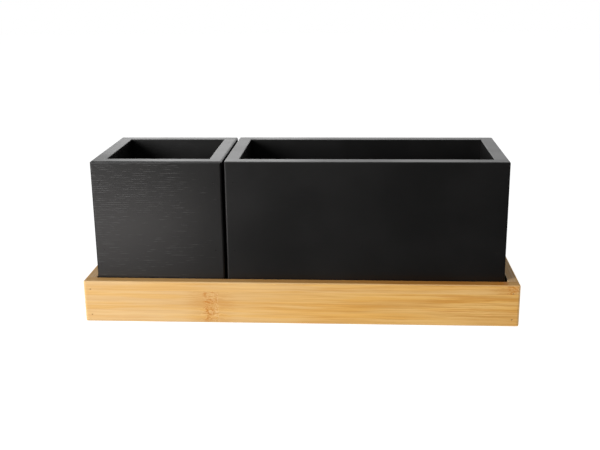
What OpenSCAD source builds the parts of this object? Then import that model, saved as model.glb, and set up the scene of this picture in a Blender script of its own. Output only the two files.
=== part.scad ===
// Tabletop caddy: a small and a large open-topped wooden box, standing loose side by side in a
// shallow bamboo tray. Millimetres. The origin is the centre of the tray's underside, +X runs along
// the tray towards the large box, +Y towards its back, +Z up. Every box and the tray are four boards
// butted together, held with brads through the front and back boards, on a base panel let into a
// rebate around their bottom edge.

/* [Boxes] */
// Outside length of the small box
small_box_l = 100; // [80:1:140]
// Outside length of the large box
large_box_l = 212; // [140:1:260]
// Outside depth of both boxes, front to back
box_w = 100; // [80:1:140]
// Height of both boxes
box_h = 121.5; // [100:0.5:160]
// Thickness of the box walls
wall_t = 10.5; // [8:0.5:14]
// Thickness of the box base panels
box_base_t = 5; // [3:0.5:8]

/* [Tray] */
// Height of the tray rails
tray_h = 33.5; // [28:0.5:45]
// Thickness of the tray rails
rail_t = 8.5; // [8:0.5:12]
// Thickness of the tray base panel
tray_base_t = 4; // [3:0.1:4.4]

/* [Clearances] */
// Gap between the tray's left rail and the small box
left_gap = 0.7; // [0.3:0.1:3]
// Gap between the two boxes
middle_gap = 1.8; // [0.5:0.1:4]
// Gap between the large box and the tray's right rail
right_gap = 2.3; // [0.3:0.1:4]
// Gap between the boxes and the front and back rails
side_gap = 1; // [0.3:0.1:3]
// Gap between a base panel and the bottom of its rebate
panel_gap = 0.25; // [0.1:0.05:0.5]

/* [Sanded edges] */
// Radius of the boxes' four upright corners
box_corner_r = 1.5; // [0.8:0.1:3]
// Radius of the small box's outside top edges
small_box_edge_r = 1.6; // [0.3:0.1:2.5]
// Radius of the large box's outside top edges
large_box_edge_r = 0.9; // [0.3:0.1:2.5]
// Radius of the boxes' outside bottom edges
box_foot_r = 0.8; // [0.3:0.1:1.5]
// Radius of the tray's four upright corners
tray_corner_r = 2; // [0.8:0.1:3]
// Radius of the tray's outside top edges
tray_edge_r = 1.3; // [0.3:0.1:1.5]
// Radius of the tray's outside bottom edges
tray_foot_r = 2.2; // [0.3:0.1:2.5]
// Radius of the inside top edges
mouth_r = 0.6; // [0.3:0.1:1.2]

/* [Brads] */
// Diameter of a brad's shank
brad_d = 1; // [0.8:0.1:1.2]
// Diameter of a brad's head
head_d = 1.3; // [1.3:0.1:2]
// Thickness of a brad's head
head_t = 0.6; // [0.4:0.1:1]
// Length of a brad, head included
brad_l = 25; // [20:1:35]
// How far the tray's brads are set below the face
tray_brad_set = 0.3; // [0.2:0.1:1]
// How far the boxes' brads are set below the face
box_brad_set = 0.1; // [0.1:0.1:0.6]
// Distance of the tray's brads from the tray's ends
tray_brad_in = 5.4; // [4:0.1:5.5]
// Distance of the boxes' brads from the boxes' ends
box_brad_in = 6.5; // [4:0.1:6.5]

/* [Hidden] */

$fn = 48;
// Overrun of a cutting shape past the face it opens
over = 1;

bamboo = [0.85, 0.66, 0.42];
black_paint = [0.17, 0.17, 0.17];
steel = [0.62, 0.62, 0.60];

// The tray encloses both boxes and the gaps around them
tray_l = small_box_l + large_box_l + left_gap + middle_gap + right_gap + 2 * rail_t;
tray_w = box_w + 2 * side_gap + 2 * rail_t;
small_box_x = -tray_l / 2 + rail_t + left_gap + small_box_l / 2;
large_box_x = tray_l / 2 - rail_t - right_gap - large_box_l / 2;

// A rebate is half as deep as its board is thick
tray_rebate = rail_t / 2;
box_rebate = wall_t / 2;

// Heights of the brads above the bottom edge of the tray, and of a box
tray_brad_zs = [5.9, tray_h - 6.7];
box_brad_zs = [16, box_h - 69.4, box_h - 16];

// A case is described by its outside size, the thickness of its boards and of its base panel, the
// depth of its rebate, and the radii of its upright corners and of its outside top and bottom edges.
TRAY = [[tray_l, tray_w, tray_h], [rail_t, tray_base_t, tray_rebate],
        [tray_corner_r, tray_edge_r, tray_foot_r]];
SMALL_BOX = [[small_box_l, box_w, box_h], [wall_t, box_base_t, box_rebate],
             [box_corner_r, small_box_edge_r, box_foot_r]];
LARGE_BOX = [[large_box_l, box_w, box_h], [wall_t, box_base_t, box_rebate],
             [box_corner_r, large_box_edge_r, box_foot_r]];

function case_l(case) = case[0][0];
function case_w(case) = case[0][1];
function case_h(case) = case[0][2];
function board_t(case) = case[1][0];
function base_t(case) = case[1][1];
function rebate(case) = case[1][2];
function corner_r(case) = case[2][0];
function edge_r(case) = case[2][1];
function foot_r(case) = case[2][2];

// ---- Shared shapes -------------------------------------------------------------------------------

// What rounding takes off a square corner at the origin, the material being at -X and -Y of it
module corner_waste(r) {
    difference() {
        translate([-r, -r]) square(r + over);
        translate([-r, -r]) circle(r = r);
    }
}

// Rectangle centred on the origin, with round corners of one radius at +Y and another at -Y
module round_rect(length, width, upper_r, lower_r) {
    difference() {
        square([length, width], center = true);
        for (side = [0, 1]) mirror([side, 0]) {
            translate([length / 2, width / 2]) corner_waste(upper_r);
            mirror([0, 1]) translate([length / 2, width / 2]) corner_waste(lower_r);
        }
    }
}

// Outside of a whole case after sanding: upright corners and horizontal edges are round
module sanded_block(case) {
    length = case_l(case);
    width = case_w(case);
    height = case_h(case);
    intersection() {
        linear_extrude(height) round_rect(length, width, corner_r(case), corner_r(case));
        translate([0, width / 2, height / 2]) rotate([90, 0, 0])
            linear_extrude(width) round_rect(length, height, edge_r(case), foot_r(case));
        translate([-length / 2, 0, height / 2]) rotate([90, 0, 90])
            linear_extrude(length) round_rect(width, height, edge_r(case), foot_r(case));
    }
}

// Outline of a mouth across one span: it flares by a quarter circle up to the top edge
module mouth_outline(span, height) {
    difference() {
        translate([-span / 2 - mouth_r, height - mouth_r]) square([span + 2 * mouth_r, mouth_r + over]);
        for (side = [-1, 1])
            translate([side * (span / 2 + mouth_r), height - mouth_r]) circle(r = mouth_r);
    }
}

// What sanding takes off the inside top edges of a case
module mouth_easing(case) {
    inner_l = case_l(case) - 2 * board_t(case);
    inner_w = case_w(case) - 2 * board_t(case);
    run_l = inner_l + 2 * mouth_r;
    run_w = inner_w + 2 * mouth_r;
    intersection() {
        translate([0, run_w / 2, 0]) rotate([90, 0, 0])
            linear_extrude(run_w) mouth_outline(inner_l, case_h(case));
        translate([-run_l / 2, 0, 0]) rotate([90, 0, 90])
            linear_extrude(run_l) mouth_outline(inner_w, case_h(case));
    }
}

// Space of the rebate, open at the bottom
module rebate_space(case) {
    reach = 2 * (rebate(case) - board_t(case));
    translate([0, 0, base_t(case) / 2 - over / 2])
        cube([case_l(case) + reach, case_w(case) + reach, base_t(case) + over], center = true);
}

// Front board, full length, with its brad holes. The back board is the same one mirrored.
module long_board(case, brad_in, brad_zs, brad_set) {
    length = case_l(case);
    thickness = board_t(case);
    difference() {
        intersection() {
            translate([-length / 2, -case_w(case) / 2, 0]) cube([length, thickness, case_h(case)]);
            sanded_block(case);
        }
        rebate_space(case);
        mouth_easing(case);
        corner_brads(case, brad_in, brad_zs, brad_set, brad_set + over);
    }
}

// Right-hand board, butted between the front and back boards. The left board is its mirror image.
module short_board(case, brad_in, brad_zs, brad_set) {
    thickness = board_t(case);
    run = case_w(case) - 2 * thickness;
    difference() {
        intersection() {
            translate([case_l(case) / 2 - thickness, -run / 2, 0]) cube([thickness, run, case_h(case)]);
            sanded_block(case);
        }
        rebate_space(case);
        mouth_easing(case);
        for (side = [0, 1])
            mirror([0, side, 0]) corner_brads(case, brad_in, brad_zs, brad_set, 0);
    }
}

module base_panel(case) {
    reach = 2 * (rebate(case) - board_t(case) - panel_gap);
    translate([0, 0, base_t(case) / 2])
        cube([case_l(case) + reach, case_w(case) + reach, base_t(case)], center = true);
}

// One brad driven from the front, its head set below the face at y = 0. A clear length above zero
// adds the open hole in front of the head.
module brad(brad_set, clear) {
    translate([0, brad_set, 0]) rotate([-90, 0, 0]) {
        cylinder(d = brad_d, h = brad_l);
        translate([0, 0, -clear]) cylinder(d = head_d, h = head_t + clear);
    }
}

// The brads of the front corners
module corner_brads(case, brad_in, brad_zs, brad_set, clear) {
    for (side = [-1, 1], z = brad_zs)
        translate([side * (case_l(case) / 2 - brad_in), -case_w(case) / 2, z]) brad(brad_set, clear);
}

// All the brads of a case
module case_brads(case, brad_in, brad_zs, brad_set) {
    for (side = [0, 1])
        mirror([0, side, 0]) corner_brads(case, brad_in, brad_zs, brad_set, 0);
}

// ---- Tray ----------------------------------------------------------------------------------------

module tray_front_rail() {
    color(bamboo) long_board(TRAY, tray_brad_in, tray_brad_zs, tray_brad_set);
}

module tray_back_rail() {
    color(bamboo) mirror([0, 1, 0]) long_board(TRAY, tray_brad_in, tray_brad_zs, tray_brad_set);
}

module tray_left_rail() {
    color(bamboo) mirror([1, 0, 0]) short_board(TRAY, tray_brad_in, tray_brad_zs, tray_brad_set);
}

module tray_right_rail() {
    color(bamboo) short_board(TRAY, tray_brad_in, tray_brad_zs, tray_brad_set);
}

module tray_base_panel() {
    color(bamboo) base_panel(TRAY);
}

module tray_brads() {
    color(steel) case_brads(TRAY, tray_brad_in, tray_brad_zs, tray_brad_set);
}

// ---- Small box, standing on the tray's base panel ------------------------------------------------

module at_small_box() {
    translate([small_box_x, 0, tray_base_t]) children();
}

module small_box_front_wall() {
    color(black_paint) at_small_box()
        long_board(SMALL_BOX, box_brad_in, box_brad_zs, box_brad_set);
}

module small_box_back_wall() {
    color(black_paint) at_small_box() mirror([0, 1, 0])
        long_board(SMALL_BOX, box_brad_in, box_brad_zs, box_brad_set);
}

module small_box_left_wall() {
    color(black_paint) at_small_box() mirror([1, 0, 0])
        short_board(SMALL_BOX, box_brad_in, box_brad_zs, box_brad_set);
}

module small_box_right_wall() {
    color(black_paint) at_small_box()
        short_board(SMALL_BOX, box_brad_in, box_brad_zs, box_brad_set);
}

module small_box_base_panel() {
    color(black_paint) at_small_box() base_panel(SMALL_BOX);
}

module small_box_brads() {
    color(black_paint) at_small_box()
        case_brads(SMALL_BOX, box_brad_in, box_brad_zs, box_brad_set);
}

// ---- Large box, standing on the tray's base panel ------------------------------------------------

module at_large_box() {
    translate([large_box_x, 0, tray_base_t]) children();
}

module large_box_front_wall() {
    color(black_paint) at_large_box()
        long_board(LARGE_BOX, box_brad_in, box_brad_zs, box_brad_set);
}

module large_box_back_wall() {
    color(black_paint) at_large_box() mirror([0, 1, 0])
        long_board(LARGE_BOX, box_brad_in, box_brad_zs, box_brad_set);
}

module large_box_left_wall() {
    color(black_paint) at_large_box() mirror([1, 0, 0])
        short_board(LARGE_BOX, box_brad_in, box_brad_zs, box_brad_set);
}

module large_box_right_wall() {
    color(black_paint) at_large_box()
        short_board(LARGE_BOX, box_brad_in, box_brad_zs, box_brad_set);
}

module large_box_base_panel() {
    color(black_paint) at_large_box() base_panel(LARGE_BOX);
}

module large_box_brads() {
    color(black_paint) at_large_box()
        case_brads(LARGE_BOX, box_brad_in, box_brad_zs, box_brad_set);
}

tray_front_rail();
tray_back_rail();
tray_left_rail();
tray_right_rail();
tray_base_panel();
tray_brads();
small_box_front_wall();
small_box_back_wall();
small_box_left_wall();
small_box_right_wall();
small_box_base_panel();
small_box_brads();
large_box_front_wall();
large_box_back_wall();
large_box_left_wall();
large_box_right_wall();
large_box_base_panel();
large_box_brads();
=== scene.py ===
"""Tabletop caddy: two black painted wooden boxes standing in a shallow bamboo tray.

The CAD boards, base panels and brads are shown as they are packed. This script gives each of them a
procedural material, and adds the camera, the studio lights and the floor.
Scene lengths are metres. Inside the materials, positions on a board are millimetres.
"""
import math

import bpy
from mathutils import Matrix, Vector

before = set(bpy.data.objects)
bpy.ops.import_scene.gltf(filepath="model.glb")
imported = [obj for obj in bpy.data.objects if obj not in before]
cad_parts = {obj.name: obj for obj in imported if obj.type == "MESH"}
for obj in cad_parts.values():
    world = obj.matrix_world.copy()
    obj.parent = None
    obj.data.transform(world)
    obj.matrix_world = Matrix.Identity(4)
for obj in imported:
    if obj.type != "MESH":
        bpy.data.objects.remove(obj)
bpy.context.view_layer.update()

# ---- Camera --------------------------------------------------------------------------------------

CAMERA_PLACE = (0.0436, -0.7086, 0.2665)
CAMERA_TURN_DEG = (73.966, 0.609, 3.541)
CAMERA_LENS_MM = 54.44
SENSOR_MM = 36.0

# ---- Light ---------------------------------------------------------------------------------------

WHITE_LIGHT = (1.0, 1.0, 1.0)
CARD_PINK = (1.0, 0.94, 0.92)
# Each light: name, place, point it faces, width, height, power in watts, colour, and whether it
# lights surfaces diffusely and whether they mirror it
LIGHTS = (
    ("key", (-0.878, -0.861, 0.426), (0.0, -0.05, 0.06), 0.50, 0.50, 16.9, WHITE_LIGHT, True, True),
    ("side_fill", (1.10, 0.10, 0.40), (0.0, 0.0, 0.06), 0.80, 0.50, 4.9, WHITE_LIGHT, True, False),
    ("back_fill", (0.10, 1.20, 0.20), (0.0, 0.0, 0.06), 1.20, 0.35, 0.8, WHITE_LIGHT, True, True),
    ("low_card", (-0.20, -0.20, 0.004), (-0.12, -0.05, 0.06), 0.18, 0.10, 0.173, CARD_PINK, False, True),
    ("top_card", (-0.30, -0.30, 1.10), (-0.10, -0.05, 0.12), 0.80, 0.80, 5.6, WHITE_LIGHT, False, True),
    ("backdrop_left", (-0.42, 1.05, 0.50), (0.0, 0.0, 0.10), 0.80, 0.90, 1.9, WHITE_LIGHT, False, True),
    ("backdrop_mid", (0.0, 1.05, 0.50), (0.0, 0.0, 0.10), 1.00, 0.90, 2.9, WHITE_LIGHT, False, True),
)
FILL = 0.05
WHITE = (1.0, 1.0, 1.0, 1.0)
FLOOR_SIZE = 6.0
FLOOR_DROP = 0.0002
FLOOR_GLOW = 0.99
FLOOR_BOUNCE = 0.73
FLOOR_GREY = 0.22

# ---- Wood ----------------------------------------------------------------------------------------

# Bamboo at the paler and at the more golden end of a board, each from a dark fibre to a light one
PALE_FIBRES = ((0.62, 0.36, 0.140, 1.0), (0.76, 0.52, 0.250, 1.0))
GOLDEN_FIBRES = ((0.58, 0.30, 0.075, 1.0), (0.74, 0.45, 0.150, 1.0))
# Painted shade and sheen on a board's upper edge, from its pale to its golden end, for boards along x and
# along y.
# The long rails' tops are painted darker and browner, most at the golden end, and the short rails' tops
# paler and bluer
TOP_SHADE_AND_SHEEN_TINTS = {"x": ((1.0, 0.94, 0.86, 1.0), (0.84, 0.61, 0.34, 1.0)),
              "y": ((1.03, 1.05, 1.18, 1.0), (1.08, 1.10, 1.25, 1.0))}
HONEY_TINT = (1.0, 0.91, 0.66, 1.0)
# Marks of a node: its dark curls, and the light ones between them. The light colour is also the painted
# highlight on the rounded edges
NODE_BROWN = (0.52, 0.19, 0.022, 1.0)
NODE_CREAM_AND_EDGE_HIGHLIGHT = (0.86, 0.64, 0.350, 1.0)
STRIP_W = 26.0
NODE_HALF_W = 6.0
# A node's line waves this much along the grain, and its effect on the grain ends this far from it
NODE_WAVE = 5.0
NODE_REACH = 24.0
# The places of the nodes wrap round within this distance of the tray's middle
NODE_SPAN = 170.0

# Each tray board: grain axis, axis across the strips, height of the glue line between two strips,
# place of the first strip's node along the grain, how much further the next strip's node is, which
# end is the golden one, and the middle of the patch where its grain is most figured
BAMBOO_BOARDS = {
    "tray_front_rail": ("x", "z", 26.0, -68.0, 231.0, 1, (132.0, 16.0)),
    "tray_back_rail": ("x", "z", 9.0, 96.0, -140.0, -1, (-20.0, 20.0)),
    "tray_left_rail": ("y", "z", 12.0, 120.0, -94.0, 1, (30.0, 8.0)),
    "tray_right_rail": ("y", "z", 21.0, -18.0, 150.0, 1, (-30.0, 12.0)),
    "tray_base_panel": ("x", "y", 7.0, -110.0, 83.0, 1, (60.0, -20.0)),
}

PAINT_DARK = (0.0021, 0.0019, 0.0018, 1.0)
PAINT_LIGHT = (0.0036, 0.0032, 0.0031, 1.0)
# Painted highlight: the colour of the raised fibres, much lighter than the paint, for the light they catch
FIBRE_PAINTED_HIGHLIGHT = (0.075, 0.071, 0.070, 1.0)
# Painted highlight: the lightest colour mottled over the painted brad heads
BRAD_HEAD_HIGHLIGHT = (0.030, 0.028, 0.027, 1.0)
# Brad heads on the tray, bare and tarnished
STEEL_DARK = (0.34, 0.19, 0.06, 1.0)
STEEL_LIGHT = (0.54, 0.32, 0.12, 1.0)
# Height of the rows that the raised fibres lie in
DASH_ROW = 1.5
# What the full height of a bump stands for on the boards and on the brads, and how little the
# bamboo and the brads gleam
BOARD_BUMP_MM = 0.10
BRAD_BUMP_MM = 0.03
DULL_SPECULAR = 0.2

# Each box: how strongly its raised fibres show, in bump and in a painted highlight, and the place along x
# around which they show most
BOX_GRAIN = {"small_box": (1.0, -128.0), "large_box": (0.10, -20.0)}
# Each painted board of a box: grain axis, axis across the grain, and its share of that grain
PAINTED_BOARDS = {
    "front_wall": ("x", "z", 1.0),
    "back_wall": ("x", "z", 0.3),
    "left_wall": ("y", "z", 0.5),
    "right_wall": ("y", "z", 0.5),
    "base_panel": ("x", "y", 0.3),
}


class Graph:
    """The node tree of one material. Each method adds a node and returns its output socket."""

    def __init__(self, material):
        material.use_nodes = True
        self.tree = material.node_tree
        self.tree.nodes.clear()
        self.shader = self.tree.nodes.new("ShaderNodeBsdfPrincipled")
        output = self.tree.nodes.new("ShaderNodeOutputMaterial")
        self.tree.links.new(self.shader.outputs["BSDF"], output.inputs["Surface"])

    def add(self, kind, inputs, output=0, **settings):
        node = self.tree.nodes.new(kind)
        for name, value in settings.items():
            setattr(node, name, value)
        for name, value in inputs.items():
            self.feed(node.inputs[name], value)
        return node.outputs[output]

    def feed(self, socket, value):
        if isinstance(value, bpy.types.NodeSocket):
            self.tree.links.new(value, socket)
        else:
            socket.default_value = value

    def math(self, operation, *values, clamp=False):
        inputs = dict(enumerate(values))
        return self.add("ShaderNodeMath", inputs, operation=operation, use_clamp=clamp)

    def scale(self, value, factor):
        return self.math("MULTIPLY", value, factor)

    def apart(self, first, second):
        """How far apart two values are."""
        return self.math("ABSOLUTE", self.math("SUBTRACT", first, second))

    def sway(self, noise, size):
        """noise, which lies about 0.5, made to lie about 0 and scaled by size."""
        return self.math("MULTIPLY", self.math("SUBTRACT", noise, 0.5), size)

    def point(self, x, y, z):
        return self.add("ShaderNodeCombineXYZ", {"X": x, "Y": y, "Z": z})

    def noise(self, point, scale=1.0, detail=2.0, roughness=0.5, distortion=0.0):
        inputs = {"Vector": point, "Scale": scale, "Detail": detail,
                  "Roughness": roughness, "Distortion": distortion}
        return self.add("ShaderNodeTexNoise", inputs, "Fac")

    def streaks(self, along, across, third, own, along_rate, across_rate):
        """Soft streaks that run along the grain."""
        return self.noise(self.point(self.math("ADD", self.scale(along, along_rate), own),
                                     self.scale(across, across_rate),
                                     self.scale(third, across_rate)), detail=3.0, roughness=0.55)

    def random(self, value):
        """A number from 0 to 1 for each value."""
        return self.add("ShaderNodeTexWhiteNoise", {"W": value}, "Value", noise_dimensions="1D")

    def ease(self, value, start, end, low=0.0, high=1.0):
        """Goes smoothly from low, where value is start, to high, where it is end."""
        inputs = {"Value": value, "From Min": start, "From Max": end, "To Min": low, "To Max": high}
        return self.add("ShaderNodeMapRange", inputs, interpolation_type="SMOOTHSTEP")

    def blend(self, factor, first, second):
        """Colour between first, at factor 0, and second, at factor 1."""
        return self.add("ShaderNodeMix", {0: factor, 6: first, 7: second}, 2, data_type="RGBA")

    def tint(self, factor, colour, tint):
        """colour at factor 0, and colour times tint at factor 1."""
        return self.add("ShaderNodeMix", {0: factor, 6: colour, 7: tint}, 2, data_type="RGBA",
                        blend_type="MULTIPLY")

    def board(self, grain, across):
        """Along the grain, across it, and the third axis, in millimetres in the row's frame."""
        place = self.add("ShaderNodeTexCoord", {}, "Object")
        place = self.add("ShaderNodeVectorMath", {0: place, "Scale": 1000.0}, operation="SCALE")
        x_y_z = dict(zip("xyz", self.split(place)))
        third = next(axis for axis in "xyz" if axis not in (grain, across))
        return [x_y_z[axis] for axis in (grain, across, third)]

    def split(self, vector):
        node = self.tree.nodes.new("ShaderNodeSeparateXYZ")
        self.tree.links.new(vector, node.inputs[0])
        return list(node.outputs)

    def facing(self):
        """How far the surface faces up, and how squarely it faces any axis: 1 straight along it."""
        x, y, z = self.split(self.add("ShaderNodeTexCoord", {}, "Normal"))
        level = self.math("MAXIMUM", self.math("ABSOLUTE", x), self.math("ABSOLUTE", y))
        return z, self.math("MAXIMUM", level, self.math("ABSOLUTE", z))

    def finish(self, colour, roughness, height, depth_mm):
        """Feeds the shader. height runs from 0 to 1, and depth_mm is what 1 stands for."""
        self.feed(self.shader.inputs["Base Color"], colour)
        self.feed(self.shader.inputs["Roughness"], roughness)
        inputs = {"Height": height, "Distance": depth_mm / 1000.0, "Strength": 1.0}
        bump = self.add("ShaderNodeBump", inputs, "Normal")
        self.feed(self.shader.inputs["Normal"], bump)


def bamboo(name, seed, grain, across_axis, glue_line, first_node, node_step, golden_end, figured):
    """Laminated bamboo: glued strips of fine parallel fibres, each strip crossed by its nodes."""
    material = bpy.data.materials.new(name)
    g = Graph(material)
    along, across, third = g.board(grain, across_axis)
    height_share, squareness = g.facing()
    upward = g.ease(height_share, 0.75, 0.98)

    # Which strip a point is in, and how far it is beyond that strip's node
    strip = g.math("FLOOR", g.scale(g.math("SUBTRACT", across, glue_line), 1 / STRIP_W))
    strip = g.math("ADD", strip, 1.0)
    own = g.math("ADD", g.scale(strip, 27.3), seed * 7.3)
    node_place = g.math("MULTIPLY_ADD", strip, node_step, first_node)
    node_place = g.math("WRAP", node_place, NODE_SPAN, -NODE_SPAN)
    wave = g.sway(g.noise(g.point(own, g.scale(across, 0.22), g.scale(third, 0.22))), NODE_WAVE)
    beyond = g.math("SUBTRACT", g.math("ADD", along, wave), node_place)
    distance = g.math("ABSOLUTE", beyond)
    band = g.ease(distance, NODE_HALF_W + 0.8, NODE_HALF_W - 1.2)
    near = g.ease(distance, NODE_REACH, 4.0)

    # Fibres run straight along the strip, wander a little in the figured patch and swirl at a node
    patch = figured_patch(g, along, across, *figured)
    swirl = g.noise(g.point(g.scale(along, 0.20), g.scale(across, 0.30), own))
    swirl = g.sway(swirl, g.math("MULTIPLY_ADD", near, 3.5, 0.5))
    wander = g.noise(g.point(g.scale(along, 0.035), g.scale(across, 0.08), own))
    wander = g.sway(wander, g.math("MULTIPLY_ADD", patch, 1.4, 1.2))
    bent = g.math("ADD", g.math("ADD", across, swirl), wander)
    threads = g.streaks(along, bent, third, own, 0.020, 0.90)
    bands = g.streaks(along, bent, third, own, 0.010, 0.34)
    clouds = g.streaks(along, across, third, own, 0.012, 0.07)

    # The grain is stronger in the patch, around a node and towards the golden end
    figure = g.math("MAXIMUM", patch, g.scale(near, 0.45))
    contrast = g.ease(along, -130.0 * golden_end, 60.0 * golden_end, 0.6, 1.0)
    contrast = g.math("MULTIPLY_ADD", figure, 1.1, contrast)
    tone = g.math("ADD", g.math("ADD", g.scale(threads, 0.50), g.scale(bands, 0.34)), g.scale(clouds, 0.16))
    tone = g.math("SUBTRACT", g.sway(tone, contrast), g.scale(near, 0.08))
    tone = g.ease(tone, -0.16, 0.16)

    # Every other strip is paler, and each strip has honey-coloured streaks
    golden = g.ease(along, -130.0 * golden_end, 60.0 * golden_end)
    golden = g.math("SUBTRACT", golden, g.scale(g.math("PINGPONG", strip, 1.0), 0.25), clamp=True)
    colour = g.blend(golden, g.blend(tone, *PALE_FIBRES), g.blend(tone, *GOLDEN_FIBRES))
    honey = g.streaks(along, bent, third, g.math("ADD", own, 50.0), 0.010, 0.20)
    colour = g.tint(g.ease(honey, 0.42, 0.62, 0.0, 0.8), colour, HONEY_TINT)
    scorched = g.streaks(along, bent, third, g.math("ADD", own, 80.0), 0.020, 0.60)
    scorched = g.math("MULTIPLY", g.ease(scorched, 0.46, 0.36), patch)
    colour = g.blend(g.scale(scorched, 0.50), colour, NODE_BROWN)

    # A node's marks, of which the dark ones stay off the board's upper edge
    dark_curls, light_curls = node_curls(g, along, bent, third, own, beyond)
    marks = g.math("MULTIPLY", dark_curls, g.math("SUBTRACT", band, upward, clamp=True))
    colour = g.tint(g.scale(near, 0.35), colour, HONEY_TINT)
    colour = g.blend(g.scale(marks, 0.90), colour, NODE_BROWN)
    colour = g.blend(g.math("MULTIPLY", light_curls, g.scale(band, 0.50)), colour, NODE_CREAM_AND_EDGE_HIGHLIGHT)

    # Painted highlight on the rounded edges, which are blended towards cream, and painted shade and sheen
    # on the upper edge except at a node
    top_shade_and_sheen = g.blend(g.ease(along, -110.0 * golden_end, 160.0 * golden_end), *TOP_SHADE_AND_SHEEN_TINTS[grain])
    # Painted highlight: the rounded edges are blended towards cream
    colour = g.blend(g.scale(g.ease(squareness, 0.98, 0.80), 0.35), colour, NODE_CREAM_AND_EDGE_HIGHLIGHT)
    # Painted shade and sheen: the upper edge is tinted darker on the long rails and paler on the short ones
    colour = g.tint(g.math("SUBTRACT", upward, band, clamp=True), colour, top_shade_and_sheen)

    roughness = g.ease(threads, 0.3, 0.7, 0.70, 0.60)
    height = g.math("ADD", g.scale(threads, 0.5), g.scale(bands, 0.2))
    height = g.math("SUBTRACT", height, g.scale(marks, 0.3))
    g.shader.inputs["Specular IOR Level"].default_value = DULL_SPECULAR
    g.finish(colour, roughness, height, BOARD_BUMP_MM)
    return material


def figured_patch(g, along, across, middle_along, middle_across):
    """1 in the middle of a long oval patch around a point of the board, and 0 outside it."""
    off_along = g.scale(g.math("SUBTRACT", along, middle_along), 1 / 46.0)
    off_across = g.scale(g.math("SUBTRACT", across, middle_across), 1 / 12.0)
    off = g.math("ADD", g.math("POWER", off_along, 2.0), g.math("POWER", off_across, 2.0))
    return g.ease(off, 1.2, 0.1)


def node_curls(g, along, bent, third, own, beyond):
    """Flat dark curls, mostly on one side of a node, and light squiggles, mostly on the other."""
    side = g.ease(beyond, -1.0, 3.5)
    deep = g.scale(third, 0.3)
    flat = g.point(g.math("ADD", g.scale(along, 0.10), own), g.scale(bent, 0.34), deep)
    dark = g.ease(g.apart(g.noise(flat, distortion=1.2), 0.48), 0.075, 0.010)
    dark = g.math("MULTIPLY", dark, g.math("MULTIPLY_ADD", side, -0.5, 1.0))
    steep = g.point(g.math("ADD", g.scale(along, 0.42), own), g.scale(bent, 0.26), deep)
    light = g.ease(g.apart(g.noise(steep, distortion=1.4), 0.52), 0.045, 0.005)
    light = g.math("MULTIPLY", light, g.math("MULTIPLY_ADD", side, 0.7, 0.3))
    return dark, light


def painted_wood(name, seed, grain, across_axis, show, fibres_most_at):
    """Satin black paint on fine-grained wood; its raised fibres show most around one place along x and
    carry a painted highlight.
    """
    material = bpy.data.materials.new(name)
    g = Graph(material)
    along, across, third = g.board(grain, across_axis)
    own = seed * 21.3

    # Raised fibres: thin straight dashes in rows, some close together and most far apart
    cover = g.noise(g.point(g.math("ADD", g.scale(along, 0.020), own), g.scale(across, 0.030),
                            g.scale(third, 0.030)))
    drift = g.noise(g.point(g.scale(along, 0.015), g.scale(across, 0.14), own))
    row_place = g.scale(g.math("MULTIPLY_ADD", drift, 3.0, across), 1 / DASH_ROW)
    row = g.math("FLOOR", row_place)
    middle = g.math("PINGPONG", row_place, 0.5)
    fibres = g.noise(g.point(g.math("ADD", g.scale(along, 0.14), g.scale(g.random(row), 90.0)),
                             g.scale(row, 7.7), g.scale(third, 0.05)), detail=1.0)
    fibres = g.math("ADD", fibres, g.sway(cover, 0.55))
    x = along if grain == "x" else third
    fibres = g.math("SUBTRACT", fibres, g.ease(g.apart(x, fibres_most_at), 25.0, 70.0, 0.0, 0.26))
    dashes = g.math("MULTIPLY", g.ease(fibres, 0.46, 0.72), g.ease(middle, 0.32, 0.45))
    film = g.noise(g.point(g.scale(along, 1.3), g.scale(across, 1.3), g.scale(third, 1.3)))
    haze = g.noise(g.point(g.scale(along, 0.02), g.scale(across, 0.02), own), detail=3.0)

    colour = g.blend(g.ease(haze, 0.35, 0.65), PAINT_DARK, PAINT_LIGHT)
    # Painted highlight on the raised fibres
    colour = g.blend(g.scale(dashes, 0.40 * show), colour, FIBRE_PAINTED_HIGHLIGHT)
    roughness = g.math("ADD", g.ease(haze, 0.3, 0.7, 0.36, 0.41), g.scale(film, 0.04))
    height = g.math("ADD", g.scale(dashes, 0.6 * show), g.scale(film, 0.10))
    g.finish(colour, roughness, height, BOARD_BUMP_MM)
    return material


def brad_metal(name, dark, light, metallic):
    """A brad's dull steel, tarnished on the tray; on the boxes, black paint mottled with a painted
    highlight.
    """
    material = bpy.data.materials.new(name)
    g = Graph(material)
    along, across, third = g.board("x", "y")
    # Tarnish on the tray's brads, and a painted highlight on the boxes' painted brads
    tarnish_and_highlight = g.noise(g.point(along, across, third), scale=3.0, detail=3.0)
    g.shader.inputs["Metallic"].default_value = metallic
    g.shader.inputs["Specular IOR Level"].default_value = DULL_SPECULAR
    g.finish(g.blend(tarnish_and_highlight, dark, light), g.ease(tarnish_and_highlight, 0.3, 0.7, 0.38, 0.6), tarnish_and_highlight, BRAD_BUMP_MM)
    return material


def paint_nodes():
    """Every CAD node gets a material; the boxes' brads share one."""
    for seed, (node, facts) in enumerate(BAMBOO_BOARDS.items()):
        assign(node, bamboo(node, seed + 1, *facts))
    for box_seed, (box, (show, fibres_most_at)) in enumerate(BOX_GRAIN.items()):
        for seed, (part, (grain, across, share)) in enumerate(PAINTED_BOARDS.items()):
            node = f"{box}_{part}"
            number = 10 * box_seed + seed + 1
            assign(node, painted_wood(node, number, grain, across, show * share, fibres_most_at))
    assign("tray_brads", brad_metal("steel", STEEL_DARK, STEEL_LIGHT, 0.1))
    painted = brad_metal("painted_steel", PAINT_DARK, BRAD_HEAD_HIGHLIGHT, 0.0)
    for box in BOX_GRAIN:
        assign(f"{box}_brads", painted)


def assign(node, material):
    for material_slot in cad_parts[node].material_slots:
        material_slot.material = material


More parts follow.
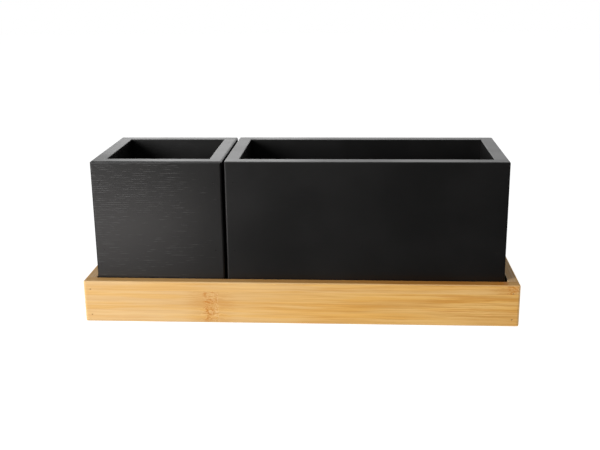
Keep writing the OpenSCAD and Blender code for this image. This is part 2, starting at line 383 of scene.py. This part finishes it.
def make_camera():
    data = bpy.data.cameras.new("camera")
    data.lens = CAMERA_LENS_MM
    data.sensor_width = SENSOR_MM
    camera = bpy.data.objects.new("camera", data)
    camera.location = CAMERA_PLACE
    camera.rotation_euler = [math.radians(angle) for angle in CAMERA_TURN_DEG]
    bpy.context.collection.objects.link(camera)
    bpy.context.scene.camera = camera


def make_lights():
    for name, place, target, width, height, watts, colour, diffuse, glossy in LIGHTS:
        data = bpy.data.lights.new(name, "AREA")
        data.shape = "RECTANGLE"
        data.size = width
        data.size_y = height
        data.energy = watts
        data.color = colour
        light = bpy.data.objects.new(name, data)
        light.location = place
        light.rotation_euler = (Vector(target) - Vector(place)).to_track_quat("-Z", "Y").to_euler()
        light.visible_camera = False
        light.visible_diffuse = diffuse
        light.visible_glossy = glossy
        bpy.context.collection.objects.link(light)


def make_world():
    """White behind the object, and a soft grey fill for everything it lights."""
    world = bpy.data.worlds.new("studio")
    bpy.context.scene.world = world
    world.use_nodes = True
    tree = world.node_tree
    tree.nodes.clear()
    fill = tree.nodes.new("ShaderNodeBackground")
    fill.inputs["Strength"].default_value = FILL
    white = tree.nodes.new("ShaderNodeBackground")
    path = tree.nodes.new("ShaderNodeLightPath")
    both = tree.nodes.new("ShaderNodeMixShader")
    output = tree.nodes.new("ShaderNodeOutputWorld")
    for background in (fill, white):
        background.inputs["Color"].default_value = WHITE
    tree.links.new(path.outputs["Is Camera Ray"], both.inputs["Fac"])
    tree.links.new(fill.outputs[0], both.inputs[1])
    tree.links.new(white.outputs[0], both.inputs[2])
    tree.links.new(both.outputs[0], output.inputs["Surface"])


def make_floor():
    """A flat sheet of white paper: it looks nearly white, and it throws some soft light back up."""
    half = FLOOR_SIZE / 2
    corners = [(x, y, -FLOOR_DROP) for x, y in ((-half, -half), (half, -half), (half, half), (-half, half))]
    mesh = bpy.data.meshes.new("floor")
    mesh.from_pydata(corners, [], [(0, 1, 2, 3)])
    floor = bpy.data.objects.new("floor", mesh)
    bpy.context.collection.objects.link(floor)
    material = bpy.data.materials.new("floor")
    material.use_nodes = True
    tree = material.node_tree
    tree.nodes.clear()
    path = tree.nodes.new("ShaderNodeLightPath")
    paper = tree.nodes.new("ShaderNodeBsdfDiffuse")
    paper.inputs["Color"].default_value = (FLOOR_GREY, FLOOR_GREY, FLOOR_GREY, 1.0)
    glow = tree.nodes.new("ShaderNodeEmission")
    strength = tree.nodes.new("ShaderNodeMapRange")
    strength.inputs["To Max"].default_value = FLOOR_GLOW
    bounce = tree.nodes.new("ShaderNodeMath")
    bounce.operation = "MULTIPLY_ADD"
    bounce.inputs[1].default_value = FLOOR_BOUNCE
    total = tree.nodes.new("ShaderNodeAddShader")
    output = tree.nodes.new("ShaderNodeOutputMaterial")
    tree.links.new(path.outputs["Is Camera Ray"], strength.inputs["Value"])
    tree.links.new(path.outputs["Is Diffuse Ray"], bounce.inputs[0])
    tree.links.new(strength.outputs["Result"], bounce.inputs[2])
    tree.links.new(bounce.outputs[0], glow.inputs["Strength"])
    tree.links.new(paper.outputs[0], total.inputs[0])
    tree.links.new(glow.outputs[0], total.inputs[1])
    tree.links.new(total.outputs[0], output.inputs["Surface"])
    mesh.materials.append(material)


make_camera()
make_lights()
make_world()
make_floor()
paint_nodes()
bpy.context.scene.view_settings.view_transform = "Standard"
